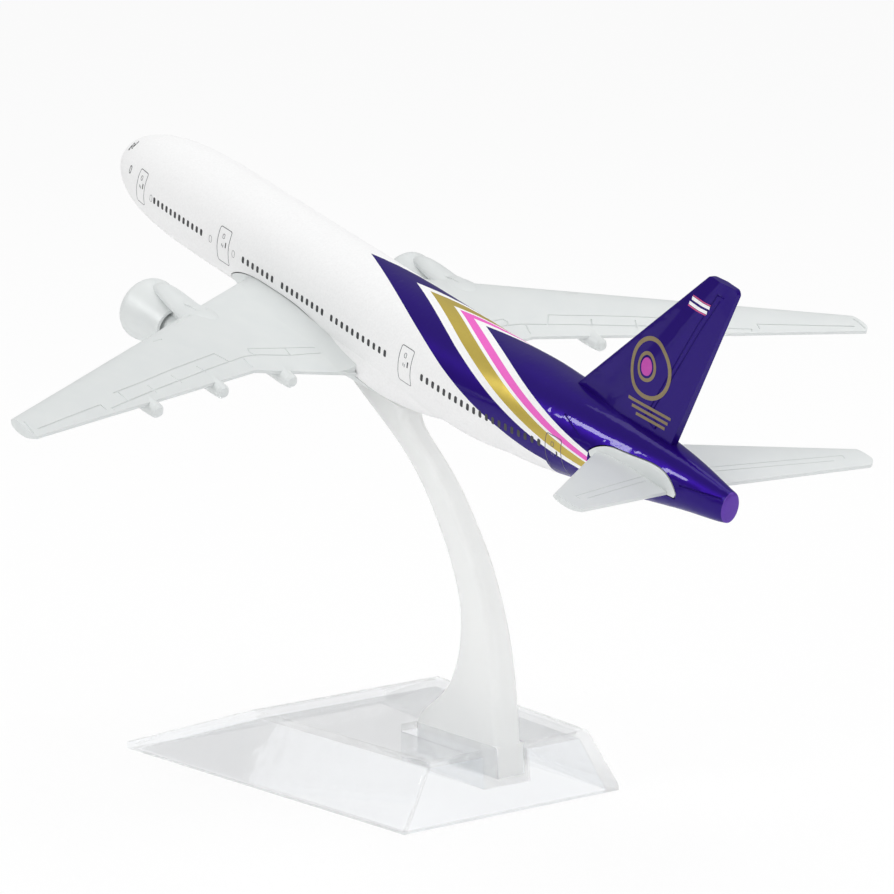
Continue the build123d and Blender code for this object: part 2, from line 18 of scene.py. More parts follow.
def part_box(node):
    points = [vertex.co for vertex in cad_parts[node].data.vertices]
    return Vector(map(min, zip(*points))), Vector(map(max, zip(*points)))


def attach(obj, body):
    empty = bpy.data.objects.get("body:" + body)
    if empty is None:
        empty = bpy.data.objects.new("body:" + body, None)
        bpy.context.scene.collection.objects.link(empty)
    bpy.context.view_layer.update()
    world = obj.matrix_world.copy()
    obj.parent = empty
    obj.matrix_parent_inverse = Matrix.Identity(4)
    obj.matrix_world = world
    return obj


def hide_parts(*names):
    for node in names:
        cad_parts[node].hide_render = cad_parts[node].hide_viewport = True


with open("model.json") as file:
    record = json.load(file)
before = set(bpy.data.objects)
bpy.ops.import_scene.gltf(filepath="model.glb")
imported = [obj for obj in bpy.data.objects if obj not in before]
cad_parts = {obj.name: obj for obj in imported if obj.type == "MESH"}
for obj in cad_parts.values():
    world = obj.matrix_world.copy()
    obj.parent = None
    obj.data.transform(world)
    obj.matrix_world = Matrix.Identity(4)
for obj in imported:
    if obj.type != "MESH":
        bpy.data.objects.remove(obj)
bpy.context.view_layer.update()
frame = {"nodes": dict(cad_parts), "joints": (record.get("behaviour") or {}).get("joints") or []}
scene = bpy.context.scene
MM = 0.001

# %% [markdown]
# ## The airliner's own axes
#
# The airliner climbs nose up on its stem, so its parts are easier to describe
# level: x runs aft, y to starboard and z up, in millimetres. The joint that lifts
# the airliner off its stem gives the up direction, and the body casting's nose
# and fin tip give the datum.

# %% Find the axes in the frame
NOSE_X = 3.2
FIN_TOP = 33.1
lift_joint = next(j for j in frame["joints"] if j["name"] == "airliner_lift")
lift = Vector(lift_joint["axis"]).normalized()
aft = Vector((lift.z, 0, -lift.x))
across = Vector((0, 1, 0))
body_points = [v.co for v in frame["nodes"]["fuselage"].data.vertices]
datum = aft * (min(p.dot(aft) for p in body_points) - NOSE_X * MM)
datum += lift * (max(p.dot(lift) for p in body_points) - FIN_TOP * MM)
level = Matrix((aft, across, lift)).transposed()


def place(x, y, z):
    """A point of the level airliner, in millimetres, as a point of the frame."""
    return datum + level @ (Vector((x, y, z)) * MM)


print("datum at", [round(c, 4) for c in datum])

# %% [markdown]
# ## The view
#
# A long lens from behind and to the left keeps the airliner's lines almost
# parallel. The camera turns about a target above the middle of the base, and is
# then moved sideways a little, to centre the object. The focal length and the
# image's width are in one unit, so the sensor's width makes them millimetres.

# %% Set up the camera
AZIMUTH = math.radians(53.69)
ELEVATION = math.radians(10.04)
ROLL = math.radians(-0.59)
TARGET = (-8.04, 0, 60)
DISTANCE = 576.9
MOVE_RIGHT = 10.81
MOVE_DOWN = 10.32
SENSOR_WIDTH = 36
FOCAL_LENGTH = 3841.5
IMAGE_WIDTH = 894
back = Vector(
    (
        math.sin(AZIMUTH) * math.cos(ELEVATION),
        -math.cos(AZIMUTH) * math.cos(ELEVATION),
        math.sin(ELEVATION),
    )
)
right = Vector((math.cos(AZIMUTH), math.sin(AZIMUTH), 0))
up = back.cross(right)
view_right = math.cos(ROLL) * right + math.sin(ROLL) * up
view_up = -math.sin(ROLL) * right + math.cos(ROLL) * up
target = Vector(TARGET) * MM
eye = target + (back * DISTANCE + view_right * MOVE_RIGHT - view_up * MOVE_DOWN) * MM
camera = bpy.data.objects.new("camera", bpy.data.cameras.new("camera"))
camera.data.sensor_width = SENSOR_WIDTH
camera.data.lens = SENSOR_WIDTH * FOCAL_LENGTH / IMAGE_WIDTH
camera.data.clip_start = 0.01
scene.collection.objects.link(camera)
camera.matrix_world = Matrix.Translation(eye) @ (
    Matrix((view_right, view_up, back)).transposed().to_4x4()
)
scene.camera = camera
scene.view_settings.view_transform = "Standard"
print("lens", round(camera.data.lens, 1), "mm")

# %% [markdown]
# ## Sums in a material
#
# A material is a small sum: masks and distances are numbers, and the shader's
# colour follows from them. Written as node calls, such sums are hard to read, so
# a wire is wrapped here in a class on which plus, times and "greater than" work.


# %% A class for shader sums
class Wire:
    """A socket in a material. Python sums on it add Math nodes."""

    def __init__(self, tree, socket):
        self.tree = tree
        self.socket = socket

    def node(self, kind, settings=(), sockets=(), out=0):
        """Adds a node: its settings first, then the values or wires of its sockets."""
        made = self.tree.nodes.new(kind)
        for name, value in dict(settings).items():
            setattr(made, name, value)
        for name, value in dict(sockets).items():
            if isinstance(value, Wire):
                self.tree.links.new(value.socket, made.inputs[name])
            else:
                made.inputs[name].default_value = value
        return Wire(self.tree, made.outputs[out])

    def twin(self, name):
        """Another output of the node that this wire comes from."""
        return Wire(self.tree, self.socket.node.outputs[name])

    def sum(self, operation, *values):
        """A Math node on these values."""
        return self.node("ShaderNodeMath", {"operation": operation}, dict(enumerate(values)))

    def __add__(self, other):
        return self.sum("ADD", self, other)

    __radd__ = __add__

    def __sub__(self, other):
        return self.sum("SUBTRACT", self, other)

    def __rsub__(self, other):
        return self.sum("SUBTRACT", other, self)

    def __mul__(self, other):
        return self.sum("MULTIPLY", self, other)

    __rmul__ = __mul__

    def __truediv__(self, other):
        return self.sum("DIVIDE", self, other)

    def __gt__(self, other):
        return self.sum("GREATER_THAN", self, other)

    def at_least(self, other):
        """The larger of this wire and another."""
        return self.sum("MAXIMUM", self, other)

    def at_most(self, other):
        """The smaller of this wire and another."""
        return self.sum("MINIMUM", self, other)

    def colours(self, no, yes):
        """One colour where this wire is 0 and another where it is 1."""
        return self.node(
            "ShaderNodeMix", {"data_type": "RGBA"}, {0: self, 6: no, 7: yes}, out=2
        )

    def numbers(self, no, yes):
        """One number where this wire is 0 and another where it is 1."""
        return self.node("ShaderNodeMix", {"data_type": "FLOAT"}, {0: self, 2: no, 3: yes})


print("a wire knows:", [name for name in vars(Wire) if not name.startswith("__")])

# %% [markdown]
# A finish is a Principled shader with a few steady values of its own, and wires
# for what varies over the surface. Colours are written as they are seen on a
# screen, and every pattern is measured in millimetres on the piece itself.


# %% Helpers for finishes
def paint(red, green, blue):
    """A colour as it is seen on a screen, 0 to 255, as the shader wants it."""
    linear = []
    for value in (red, green, blue):
        value /= 255
        linear.append(value / 12.92 if value <= 0.04045 else ((value + 0.055) / 1.055) ** 2.4)
    return (*linear, 1)


def new_finish(name, **values):
    """A material with these values on its shader, and a wire into its tree."""
    material = bpy.data.materials.new(name)
    material.use_nodes = True
    tree = material.node_tree
    shader = tree.nodes["Principled BSDF"]
    for socket, value in values.items():
        shader.inputs[socket.replace("_", " ")].default_value = value
    return material, Wire(tree, None)


def feed(material, **wires):
    """Links wires to the shader's sockets."""
    shader = material.node_tree.nodes["Principled BSDF"]
    for socket, wire in wires.items():
        material.node_tree.links.new(wire.socket, shader.inputs[socket.replace("_", " ")])


def speckle(wire, scale, detail=2.0):
    """Soft noise from 0 to 1, with spots about 1/scale mm across."""
    where = wire.node("ShaderNodeTexCoord", out="Object")
    where = wire.node("ShaderNodeMapping", {}, {"Vector": where, "Scale": (1 / MM,) * 3})
    return wire.node(
        "ShaderNodeTexNoise", {}, {"Vector": where, "Scale": scale, "Detail": detail}
    )


def ripple(wire, scale, height):
    """A normal with fine waves in it, height in millimetres."""
    return wire.node(
        "ShaderNodeBump",
        {},
        {"Height": speckle(wire, scale), "Distance": height * MM, "Strength": 1.0},
    )


print("a mid grey of 128 is", round(paint(128, 128, 128)[0], 3), "to the shader")

# %% [markdown]
# ## The floor and the room
#
# The floor is pale paper. It is white to the camera and to light that has passed
# through clear plastic, and dimmer in reflections, so that the gloss paint and
# the white castings keep their shape against it. It still takes soft shadows.

# %% Lay the floor
FLOOR_RADIUS = 3.0
FLOOR_DROP = 0.0002
GLOW_SEEN = 0.88
GLOW_IN_GLOSS = 0.2
bpy.ops.object.select_all(action="DESELECT")
bpy.ops.mesh.primitive_circle_add(
    vertices=96, radius=FLOOR_RADIUS, fill_type="NGON", location=(0, 0, -FLOOR_DROP)
)
floor = bpy.context.object
floor.name = "floor"
floor_paper, wire = new_finish("floor_paper", Roughness=0.9, Specular_IOR_Level=0.1)
camera_ray = wire.node("ShaderNodeLightPath", out="Is Camera Ray")
seen = camera_ray.at_least(camera_ray.twin("Transmission Depth") > 0.5)
mirrored = camera_ray.twin("Is Glossy Ray")
seen = (seen * GLOW_SEEN).at_least(mirrored * GLOW_IN_GLOSS)
paper_tone = speckle(wire, 0.05).colours(paint(250, 250, 250), paint(253, 253, 253))
feed(floor_paper, Base_Color=paper_tone)
glow = wire.node("ShaderNodeEmission", {}, {"Color": (1, 1, 1, 1), "Strength": 1.0})
shaders = floor_paper.node_tree.nodes
paper = Wire(floor_paper.node_tree, shaders["Principled BSDF"].outputs[0])
mixed = wire.node("ShaderNodeMixShader", {}, {0: seen, 1: paper, 2: glow})
floor_paper.node_tree.links.new(mixed.socket, shaders["Material Output"].inputs["Surface"])
floor.data.materials.append(floor_paper)
print("floor radius", floor.dimensions.x / 2, "m")

# %% [markdown]
# The room lights the object from all round. The world is white behind the
# object, but a reflection sees a dim horizon under a brighter ceiling, as it
# would in a studio. That is what makes the purple tail look deep and glossy.

# %% Light the room
ROOM_LIGHT = 0.66
HORIZON_Z, HORIZON_LIGHT = 0.1, 0.22
CEILING_Z, CEILING_LIGHT = 0.8, 0.5
world = bpy.data.worlds.new("studio")
scene.world = world
world.use_nodes = True
sky = world.node_tree
surround = Wire(sky, sky.nodes["Background"].outputs[0])
sky.nodes["Background"].inputs["Color"].default_value = (1, 1, 1, 1)
sky.nodes["Background"].inputs["Strength"].default_value = ROOM_LIGHT
backdrop = surround.node("ShaderNodeBackground", {}, {"Color": (1, 1, 1, 1), "Strength": 1.0})
camera_ray = surround.node("ShaderNodeLightPath", out="Is Camera Ray")
through = camera_ray.at_least(camera_ray.twin("Transmission Depth") > 0.5)
way = surround.node("ShaderNodeTexCoord")
height = surround.node("ShaderNodeSeparateXYZ", {}, {0: way}, out="Z")
brightness = surround.node(
    "ShaderNodeMapRange",
    {"interpolation_type": "SMOOTHSTEP"},
    {0: height, 1: HORIZON_Z, 2: CEILING_Z, 3: HORIZON_LIGHT, 4: CEILING_LIGHT},
)
gloss = surround.node(
    "ShaderNodeBackground", {}, {"Color": (1, 1, 1, 1), "Strength": brightness}
)
mirrored = camera_ray.twin("Is Glossy Ray")
room = surround.node("ShaderNodeMixShader", {}, {0: mirrored, 1: surround, 2: gloss})
room = surround.node("ShaderNodeMixShader", {}, {0: through, 1: room, 2: backdrop})
sky.links.new(room.socket, sky.nodes["World Output"].inputs["Surface"])
print("room light", ROOM_LIGHT, "and in reflections", HORIZON_LIGHT, "to", CEILING_LIGHT)

# %% [markdown]
# Three square lamps give the object its light and shade. Two more show only in
# gloss: they make the long bright streak along the upper side of the tail.

# %% Hang the lamps
# name, place, width and power
LAMPS = (
    ("lamp_above", (0.05, 0.1, 0.9), 0.7, 2.6),
    ("lamp_left", (0.1, -0.9, 0.45), 0.5, 1.6),
    ("lamp_behind", (0.9, 0.35, 0.5), 0.45, 1.2),
    ("lamp_streak_fore", (-0.38, -0.68, 0.61), 0.14, 1.3),
    ("lamp_streak_aft", (-0.3, -0.8, 0.49), 0.14, 1.3),
)
LAMP_AIM = (0, 0, 0.05)
for name, hung_at, width, power in LAMPS:
    lamp = bpy.data.objects.new(name, bpy.data.lights.new(name, "AREA"))
    lamp.data.size = width
    lamp.data.energy = power
    lamp.location = hung_at
    aim = Vector(LAMP_AIM) - lamp.location
    lamp.rotation_euler = aim.to_track_quat("-Z", "Y").to_euler()
    scene.collection.objects.link(lamp)
    lamp.visible_diffuse = "streak" not in name

# %% [markdown]
# ## The paint
#
# The body is gloss white with a deep purple tail, and diagonal bands of purple,
# gold and pink where the two meet. They could be films, like the doors further
# on, but they wrap round the whole body, and so they are part of its paint. They
# are worked out from the place on the body in the airliner's level axes: how far
# a point lies behind a slanting line decides its colour. The line leans with the
# angle round the body, measured from the body's middle line, which rises towards
# the tail.

# %% Measure how far behind the slanting line a point lies
EDGE_X = 70.0
EDGE_LEAN = 24.5
EDGE_SPREAD = 0.1
KEEL_ANGLE = 2.2
TAIL_X = 99.9
TAIL_LENGTH = 57.0
TAIL_RISE = (2.15, 6.88, 4.73)

body_paint, wire = new_finish("body_paint", Coat_Roughness=0.04, Specular_IOR_Level=0.0)
where = wire.node("ShaderNodeTexCoord", out="Object")
flat = wire.node(
    "ShaderNodeMapping",
    {"vector_type": "TEXTURE"},
    {"Vector": where, "Location": datum, "Rotation": level.to_euler(), "Scale": (MM, MM, MM)},
)
body_x = wire.node("ShaderNodeSeparateXYZ", {}, {0: flat}, out="X")
body_y = body_x.twin("Y")
body_z = body_x.twin("Z")
side_y = body_y.sum("ABSOLUTE", body_y)
tail_run = ((body_x - TAIL_X) / TAIL_LENGTH).at_least(0.0)
tail_rise = tail_run * (TAIL_RISE[0] + tail_run * (TAIL_RISE[1] - tail_run * TAIL_RISE[2]))
angle = side_y.sum("ARCTAN2", side_y, body_z - tail_rise).at_most(KEEL_ANGLE)
behind = (body_x - (EDGE_X + angle * EDGE_LEAN)) / (1.0 - angle * EDGE_SPREAD)
print("the line leaves the body's top at", EDGE_X, "mm and leans", EDGE_LEAN, "mm a radian")

# %% [markdown]
# Each band starts at its own distance behind the line and paints over the one
# before. Purple and gold have some metal in them and a thin clear coat. White
# and pink have neither.

# %% Mix the body paint
WHITE = paint(247, 247, 247)
PURPLE = paint(38, 9, 118)
GOLD = paint(198, 176, 84)
PINK = paint(238, 112, 200)
# a lighter purple for the tail's end face: painted light, where that face catches the light
LIT_TAIL_FACE = paint(98, 62, 168)
PAINT_DUST = paint(20, 16, 40)
METAL_IN_PAINT = 0.35
BANDS_END = 132.5
TAIL_FACE_X = 156.4
BANDS = (
    (0.0, PURPLE),
    (12.0, WHITE),
    (15.5, GOLD),
    (21.5, WHITE),
    (23.0, PINK),
    (26.5, WHITE),
    (29.5, PURPLE),
)
colour = WHITE
metal = behind * 0
for start, tint in BANDS:
    passed = behind > start
    colour = passed.colours(colour, tint)
    metal = passed.numbers(metal, 0.0 if tint in (WHITE, PINK) else METAL_IN_PAINT)
tail_end = body_x > BANDS_END
colour = tail_end.colours(colour, PURPLE)
metal = tail_end.numbers(metal, METAL_IN_PAINT)
# painted light: the end face of the tail gets the lighter purple
colour = (body_x > TAIL_FACE_X).colours(colour, LIT_TAIL_FACE)
flake = speckle(wire, 3.0, 3.0)
colour = (flake * 0.12).colours(colour, PAINT_DUST)
feed(
    body_paint,
    Base_Color=colour,
    Metallic=metal,
    Roughness=metal.numbers(0.3, 0.26) + flake * 0.05,
    Coat_Weight=metal.numbers(0.0, 1.0),
    Normal=ripple(wire, 0.6, 0.004),
)
print("bands:", len(BANDS))

# %% [markdown]
# ## The other finishes
#
# The wings are satin grey paint, the fans and screws are bare metal, the stem is
# frosted plastic and the base is clear plastic. Nothing real is quite even, so
# the tone, the gloss and the flatness of each drift a little over the surface.


# %% Mix the other finishes
def uneven_finish(name, tone, rough, metal=None, waves=None, **steady):
    """A finish that drifts. Tone, rough and metal are (scale, low, high) of their
    speckles, and waves are (scale, height)."""
    material, wire = new_finish(name, **steady)
    scale, low, high = tone
    wires = {"Base_Color": speckle(wire, scale).colours(paint(*low), paint(*high))}
    scale, low, high = rough
    wires["Roughness"] = speckle(wire, scale).numbers(low, high)
    if metal:
        scale, low, high = metal
        wires["Metallic"] = speckle(wire, scale).numbers(low, high)
    if waves:
        wires["Normal"] = ripple(wire, *waves)
    feed(material, **wires)
    return material


wing_paint = uneven_finish(
    "wing_paint",
    tone=(0.25, (217, 221, 221), (224, 227, 226)),
    rough=(1.5, 0.38, 0.46),
    metal=(0.5, 0.0, 0.08),
    waves=(1.2, 0.006),
    Specular_IOR_Level=0.25,
)
screw_steel = uneven_finish(
    "screw_steel",
    tone=(2.0, (150, 150, 152), (190, 190, 190)),
    rough=(4.0, 0.25, 0.4),
    metal=(4.0, 0.95, 1.0),
    waves=(4.0, 0.01),
)
fan_metal = uneven_finish(
    "fan_metal",
    tone=(2.0, (92, 95, 100), (120, 122, 126)),
    rough=(3.0, 0.35, 0.5),
    metal=(3.0, 0.5, 0.6),
    waves=(3.0, 0.008),
)
stem_plastic = uneven_finish(
    "stem_plastic",
    tone=(0.1, (246, 248, 247), (251, 252, 251)),
    rough=(0.8, 0.28, 0.36),
    waves=(0.5, 0.01),
    Transmission_Weight=0.25,
    IOR=1.4,
    Subsurface_Weight=0.5,
    Subsurface_Radius=(1, 1, 1),
    Subsurface_Scale=0.004,
    Alpha=0.72,
)
base_plastic = uneven_finish(
    "base_plastic",
    tone=(0.1, (231, 234, 238), (236, 239, 242)),
    rough=(0.3, 0.0, 0.03),
    waves=(0.15, 0.02),
    Transmission_Weight=1.0,
    IOR=1.3,
    Alpha=0.44,
)
print("nodes in the wing paint:", len(wing_paint.node_tree.nodes))

# %% [markdown]
# Every part of the CAD model gets one of these finishes. Parts that come in a
# port and a starboard version share theirs.

# %% Finish the CAD parts
FINISH_OF = {
    "fuselage": body_paint,
    "wing": wing_paint,
    "wing_screws": screw_steel,
    "nacelle_port": wing_paint,
    "nacelle_starboard": wing_paint,
    "fan_port": fan_metal,
    "fan_starboard": fan_metal,
    "exhaust_plug_port": fan_metal,
    "exhaust_plug_starboard": fan_metal,
    "tailplane_port": wing_paint,
    "tailplane_starboard": wing_paint,
    "stem": stem_plastic,
    "base": base_plastic,
}
for name, material in FINISH_OF.items():
    node = frame["nodes"][name]
    node.data.materials.clear()
    node.data.materials.append(material)
print("finishes on", len(FINISH_OF), "parts")

# %% [markdown]
# ## Printed doors and windows
#
# On the real airliner these are pad printed, a film far thinner than paper. They
# could be worked out in the body's paint, as the bands are, but each of them
# would need a sum of its own. Here each mark starts as a flat shape beside the
# body. A Shrinkwrap modifier presses it on to the paint, and a Solidify modifier
# gives it a little thickness, so that it stays sharp however close one looks.
#
# Operators act on whatever is selected, so the first helpers look after that.

# %% Helpers for selecting, copying and joining
SIDE = {"port": -1, "starboard": 1}


def deselect():
    """Nothing selected, ready for the next operator."""
    if bpy.context.object and bpy.context.object.mode == "EDIT":
        bpy.ops.object.mode_set(mode="OBJECT")
    bpy.ops.object.select_all(action="DESELECT")


def choose(piece):
    """Only this piece selected and active."""
    deselect()
    piece.select_set(True)
    bpy.context.view_layer.objects.active = piece


def finish_modifiers(piece):
    """Applies all of a piece's modifiers."""
    choose(piece)
    for modifier in list(piece.modifiers):
        bpy.ops.object.modifier_apply(modifier=modifier.name)


def copied(shape, name, move=None):
    """A copy of a shape with its own mesh, moved by a matrix if one is given."""
    copy = bpy.data.objects.new(name, shape.data.copy())
    scene.collection.objects.link(copy)
    if move is not None:
        copy.data.transform(move)
    return copy


def joined(pieces, name):
    """Several pieces made into one."""
    choose(pieces[0])
    for piece in pieces:
        piece.select_set(True)
    if len(pieces) > 1:
        bpy.ops.object.join()
    made = bpy.context.object
    made.name = name
    made.data.name = name
    return made


print("sides:", list(SIDE))

# %% [markdown]
# A door or a window is a rectangle with round corners, either filled or as an
# outline. It starts as a circle, or as a ring extruded from one, and its points
# then slide out to a rectangle's edge. A bar is a grid, because a long flat face
# would not follow a curved surface.


# %% Draw flat marks
def rounded(turn, half_width, half_height, corner):
    """A point of a rounded rectangle's outline, from 0 to 1 of the way round it."""
    around = 4 * (half_width + half_height) * (turn % 1)
    for start, way, length in (
        ((half_width, -half_height), (0, 1), 2 * half_height),
        ((half_width, half_height), (-1, 0), 2 * half_width),
        ((-half_width, half_height), (0, -1), 2 * half_height),
        ((-half_width, -half_height), (1, 0), 2 * half_width),
    ):
        if around <= length:
            break
        around -= length
    x = start[0] + way[0] * around
    y = start[1] + way[1] * around
    core_x = max(corner - half_width, min(half_width - corner, x))
    core_y = max(corner - half_height, min(half_height - corner, y))
    out = Vector((x - core_x, y - core_y))
    out = out.normalized() * corner if out.length > 0 else out
    return core_x + out.x, core_y + out.y


def mark(width, height, line=None, corners=32, corner=0.25):
    """A filled rounded rectangle in millimetres, or its outline if line is given."""
    deselect()
    fill = "TRIFAN" if line is None else "NOTHING"
    bpy.ops.mesh.primitive_circle_add(vertices=corners, radius=1, fill_type=fill)
    shape = bpy.context.object
    if line is not None:
        bpy.ops.object.mode_set(mode="EDIT")
        bpy.ops.mesh.select_all(action="SELECT")
        bpy.ops.mesh.extrude_edges_move()
        bpy.ops.transform.resize(value=(0.5, 0.5, 0.5))
        bpy.ops.object.mode_set(mode="OBJECT")
    for vertex in shape.data.vertices:
        radius = vertex.co.length
        if radius < 0.1:
            continue
        inward = line if radius < 0.75 else 0
        turn = math.atan2(vertex.co.y, vertex.co.x) / math.tau
        round_by = max(0.02, corner - inward)
        x, y = rounded(turn, width / 2 - inward, height / 2 - inward, round_by)
        vertex.co = (x, y, 0)
    return shape


def bar_mark(width, height):
    """A flat bar with enough faces to follow a curved surface."""
    deselect()
    columns = math.ceil(width / 0.5) + 1
    bpy.ops.mesh.primitive_grid_add(x_subdivisions=columns, y_subdivisions=2, size=1)
    shape = bpy.context.object
    for vertex in shape.data.vertices:
        vertex.co = (vertex.co.x * width, vertex.co.y * height, 0)
    return shape


def copies(shape, places):
    """A copy of a mark at each (x, z) of the level airliner, in place of the mark."""
    made = [copied(shape, shape.name, Matrix.Translation((x, z, 0))) for x, z in places]
    bpy.data.objects.remove(shape)
    return made


print("a corner of a window:", [round(c, 2) for c in rounded(0.18, 0.31, 0.54, 0.24)])

# %% [markdown]
# To print, the flat marks are stood up far out to one side of the airliner and
# projected on to the surface. The inks are as uneven as thin ink is.

# %% Print marks on a surface
PRINT_LIFT = 0.02
PRINT_FROM = 30.0


def printed(name, marks, side, onto, finish, lift_by=PRINT_LIFT):
    """Presses flat marks on to a surface from one side, as one piece."""
    sheet = joined(marks, name)
    for vertex in sheet.data.vertices:
        vertex.co = place(vertex.co.x, SIDE[side] * PRINT_FROM, vertex.co.y)
    if SIDE[side] > 0:
        sheet.data.flip_normals()
    wrap = sheet.modifiers.new("press", "SHRINKWRAP")
    wrap.target = onto
    wrap.wrap_method = "PROJECT"
    wrap.use_project_y = True
    wrap.use_negative_direction = SIDE[side] > 0
    wrap.use_positive_direction = SIDE[side] < 0
    wrap.offset = lift_by * MM
    thick = sheet.modifiers.new("film", "SOLIDIFY")
    thick.thickness = 2 * lift_by * MM
    thick.offset = -1
    finish_modifiers(sheet)
    sheet.data.materials.clear()
    sheet.data.materials.append(finish)
    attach(sheet, "airliner")
    return sheet


def ink(name, low, high):
    """A printed colour that is a little uneven."""
    return uneven_finish(
        name, (2.5, low, high), (4.0, 0.3, 0.4), Coat_Weight=0.1, Coat_Roughness=0.05
    )


window_ink = ink("window_ink", (8, 8, 12), (36, 36, 42))
line_ink = ink("line_ink", (62, 60, 70), (98, 96, 106))
gold_ink = ink("gold_ink", (120, 104, 72), (142, 124, 84))
pink_ink = ink("pink_ink", (180, 50, 160), (196, 64, 172))
white_ink = ink("white_ink", (240, 240, 242), (250, 250, 250))
rose_ink = ink("rose_ink", (196, 60, 120), (214, 84, 140))
print("inks:", [m.name for m in bpy.data.materials if m.name.endswith("ink")])

# %% [markdown]
# The cabin windows stand in five rows between four doors a side. Their line
# follows the body, so the last row climbs with the tail. A door is an outline
# with a small window, two hinge marks and a handle.

# %% Print the windows and the doors
# the first and the last window's x in each row, and how many there are
WINDOW_ROWS = (
    (22.3, 36.6, 12),
    (48.7, 56.9, 7),
    (59.7, 70.6, 9),
    (73.1, 87.2, 11),
    (96.6, 123.1, 20),
)
# x, z, width and height
DOORS = (
    (17.4, 0.05, 2.8, 5.4),
    (42.9, -0.35, 3.3, 5.7),
    (92.2, -0.35, 3.2, 5.6),
    (125.9, -0.3, 3.2, 5.8),
)
PORTHOLES = ((21.2, -0.45), (39.3, -0.5), (45.9, -0.55))
ROW_HEIGHT = -0.45
CLIMB_X = 108
CLIMB_LENGTH = 15.1
CLIMB = 0.9


def window_height(x):
    """The height of the row of windows, which follows the rising tail."""
    return ROW_HEIGHT + CLIMB * max(0, (x - CLIMB_X) / CLIMB_LENGTH) ** 1.5


def door_lines(x, z, width, height):
    """A door's outline, its small window and its two hinge marks."""
    outline = copies(mark(width, height, line=0.11, corners=64, corner=0.4), [(x, z)])
    pane = copies(mark(0.6, 0.8, line=0.09, corners=16), [(x - 0.15, z + 0.27 * height)])
    hinges = copies(bar_mark(0.12, 0.45), [(x - 0.35, z + 0.1), (x, z)])
    return outline + pane + hinges


body = frame["nodes"]["fuselage"]
for side in SIDE:
    places = [
        first + (last - first) * n / (count - 1)
        for first, last, count in WINDOW_ROWS
        for n in range(count)
    ]
    places = [(x, window_height(x)) for x in places]
    windows = copies(mark(0.62, 1.08, corners=16, corner=0.24), places)
    printed("cabin_windows_" + side, windows, side, body, window_ink)
    lines = []
    for door in DOORS:
        lines += door_lines(*door)
    lines += copies(mark(0.75, 1.15, line=0.06, corners=24, corner=0.36), PORTHOLES)
    printed("door_lines_" + side, lines, side, body, line_ink)
    handles = [copies(bar_mark(0.26, 0.85), [(x + 0.7, z + 0.35)])[0] for x, z, _, _ in DOORS]
    printed("door_handles_" + side, handles, side, body, window_ink)
print("windows a side:", len(places))

# %% [markdown]
# ## Lines cut into the castings
#
# The moulds of the real wings have fine lines for the flaps, the spoilers and
# the ailerons. A bump would only tint them, so here they are cut. A thin bar is
# laid along each line on the surface, and a Boolean modifier takes the bars
# away from a copy of the casting.

# %% Helpers for laying bars on a surface
GROOVE = 0.15
SPACING = 1.5
CLEAR = 40
WELD = 0.000002


def merged_copy(node_name, name):
    """A copy of a CAD part whose loose triangles are joined up."""
    piece = copied(frame["nodes"][node_name], name)
    choose(piece)
    bpy.ops.mesh.customdata_custom_splitnormals_clear()
    bpy.ops.object.mode_set(mode="EDIT")
    bpy.ops.mesh.select_all(action="SELECT")
    bpy.ops.mesh.remove_doubles(threshold=WELD)
    bpy.ops.object.mode_set(mode="OBJECT")
    return piece


def surface_tree(piece):
    """A piece's faces, ready for rays to be cast at them."""
    mesh = bmesh.new()
    mesh.from_mesh(piece.data)
    tree = BVHTree.FromBMesh(mesh)
    mesh.free()
    return tree


def steps_along(corners):
    """Points every millimetre or so along a line with these corners."""
    points = []
    for start, end in zip(corners, corners[1:]):
        span = math.dist(start, end)
        count = max(2, math.ceil(span / SPACING))
        for n in range(count):
            points.append([a + (b - a) * n / count for a, b in zip(start, end)])
    return points + [list(corners[-1])]


def bar_on(tree, corners, side, seen_from, radius=GROOVE):
    """A bar that lies along a line on a surface, seen from above or from the side."""
    hits = []
    for first, second in steps_along(corners):
        if seen_from == "above":
            start, way = place(first, SIDE[side] * second, CLEAR), -lift
        else:
            start, way = place(first, SIDE[side] * CLEAR, second), -SIDE[side] * across
        hit = tree.ray_cast(start, way)[0]
        if hit is not None:
            hits.append(hit)
    line = bpy.data.curves.new("bar", "CURVE")
    line.dimensions = "3D"
    line.bevel_depth = radius * MM
    line.bevel_resolution = 0
    line.use_fill_caps = True
    run = line.splines.new("POLY")
    run.points.add(len(hits) - 1)
    for point, hit in zip(run.points, hits):
        point.co = (*hit, 1)
    bar = bpy.data.objects.new("bar", line)
    scene.collection.objects.link(bar)
    choose(bar)
    bpy.ops.object.convert(target="MESH")
    return bpy.context.object


print("a groove is", GROOVE, "mm deep, with a point every", SPACING, "mm")

# %% [markdown]
# The bars are joined into one cutter, so that each casting is cut once. The cut
# casting then stands for the CAD part, which stays in the model unseen.

# %% Helpers for cutting and dressing
SMOOTH_CASTING = math.radians(28)
SMOOTH_SKIN = math.radians(40)


def engrave(piece, bars):
    """Cuts bars out of a piece and shades what is left."""
    cutter = joined(bars, "cutter")
    cut = piece.modifiers.new("cut", "BOOLEAN")
    cut.operation = "DIFFERENCE"
    cut.solver = "EXACT"
    cut.use_self = True
    cut.object = cutter
    finish_modifiers(piece)
    bpy.data.objects.remove(cutter)
    choose(piece)
    bpy.ops.object.shade_smooth_by_angle(angle=SMOOTH_CASTING)
    print(piece.name, "has", len(piece.data.polygons), "faces")
    return piece


def dressed(piece, finish, body, slot, *nodes):
    """Gives a piece its finish, hangs it on its body, and hides the CAD parts that it stands for.
    """
    piece.data.materials.clear()
    piece.data.materials.append(finish)
    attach(piece, body)
    if nodes:
        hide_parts(*nodes)
    return piece


print("castings are smooth under", round(math.degrees(SMOOTH_CASTING)), "degrees")

# %% [markdown]
# Both wings are one casting, so the lines of one wing are given here as (x, y)
# points seen from above, and cut on both sides.

